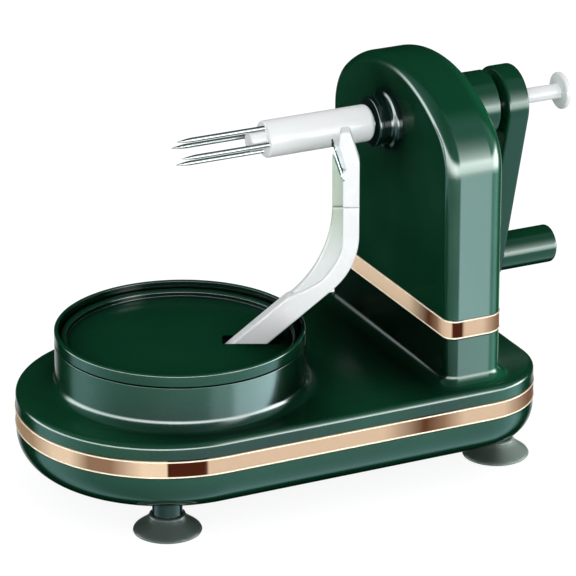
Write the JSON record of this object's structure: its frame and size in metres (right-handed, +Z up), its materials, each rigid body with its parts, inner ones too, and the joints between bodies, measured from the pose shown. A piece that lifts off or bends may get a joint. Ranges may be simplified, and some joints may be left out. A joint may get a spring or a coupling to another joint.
{
  "type": "hand-cranked apple peeler",
  "caption": "Hand-cranked apple peeler: a worm and gears carry a peeling arm on a drum's turntable round fruit held on a pronged fork.",
  "frame": {"origin": "on the ground under the middle of the peeler's bounding box", "axes": "+X along the fork axis from the drum towards the crank, +Y towards the side away from the parked arm, +Z up"},
  "size_m": [0.267, 0.1328, 0.1815],
  "materials": {
    "green_plastic": "gloss",
    "dark_green_plastic": "gloss",
    "rose_gold": "satin",
    "white_plastic": "gloss",
    "steel": "brushed",
    "cup_rubber": "translucent satin",
    "nylon": "matte"
  },
  "bodies": {
    "base": {"base_tray": "green_plastic", "base_cover": "green_plastic", "base_trim_band": "rose_gold", "base_screws": "steel", "suction_cup_front_left": "cup_rubber", "suction_cup_front_right": "cup_rubber", "suction_cup_rear_left": "cup_rubber", "suction_cup_rear_right": "cup_rubber", "column_housing": "green_plastic", "column_trim_band": "rose_gold", "column_rear_cover": "green_plastic", "rear_cover_screws": "steel", "column_screws": "steel", "fork_collar": "dark_green_plastic", "front_bush": "nylon", "rear_bush": "nylon", "spindle_bracket": "nylon", "bracket_screws": "steel", "spindle_bush": "nylon", "turntable_axle": "steel", "idler_axle": "steel"},
    "crank": {"crank_shaft": "steel", "worm": "nylon", "fork_tube": "white_plastic", "fork_prongs": "steel", "crank_spacer": "dark_green_plastic", "crank_arm": "green_plastic", "crank_set_screw": "steel", "handle_bolt": "steel"},
    "handle": {"crank_handle": "green_plastic", "handle_cap": "green_plastic"},
    "push_rod": {"push_rod": "white_plastic", "push_disc": "white_plastic", "ejector": "white_plastic"},
    "spindle": {"spindle": "steel", "worm_wheel": "nylon", "spindle_pinion": "nylon"},
    "idler": {"idler_gear": "nylon"},
    "turntable": {"turntable": "green_plastic", "turntable_gear": "nylon", "turntable_screws": "steel", "arm_spring": "steel"},
    "arm": {"peeling_arm": "white_plastic", "cutter_head": "white_plastic", "peeling_blade": "steel", "blade_rivets": "steel", "arm_pivot_pin": "steel"}
  },
  "joints": [
    {"name": "crank_turn", "type": "hinge", "parent": "base", "child": "crank", "pos_m": [0.0552, 0, 0.1535], "axis": [-1, 0, 0], "range_deg": [0, 12320]},
    {"name": "handle_spin", "type": "hinge", "parent": "crank", "child": "handle", "pos_m": [0.11875, 0.01705, 0.07329], "axis": [1, 0, 0], "continuous": true},
    {"name": "push_rod_slide", "type": "slide", "parent": "crank", "child": "push_rod", "axis": [-1, 0, 0], "range_m": [-0.005, 0.014]},
    {"name": "spindle_turn", "type": "hinge", "parent": "base", "child": "spindle", "pos_m": [0.0552, 0.0178, 0.09], "axis": [0, 0, 1], "range_deg": [-770, 0]},
    {"name": "idler_turn", "type": "hinge", "parent": "base", "child": "idler", "pos_m": [0.00873, 0.01062, 0.025], "axis": [0, 0, 1], "range_deg": [0, 362.36]},
    {"name": "turntable_turn", "type": "hinge", "parent": "base", "child": "turntable", "pos_m": [-0.06005, 0, 0.06], "axis": [0, 0, 1], "range_deg": [-308, 0]},
    {"name": "arm_swing", "type": "hinge", "parent": "turntable", "child": "arm", "pos_m": [-0.04006, -0.00966, 0.0588], "axis": [-0.4352, -0.9003, 0], "range_deg": [0, 17]}
  ],
  "couplings": [
    {"joint": "spindle_turn", "follows": "crank_turn", "ratio": -0.0625},
    {"joint": "idler_turn", "follows": "crank_turn", "ratio": 0.029412},
    {"joint": "turntable_turn", "follows": "crank_turn", "ratio": -0.025}
  ]
}
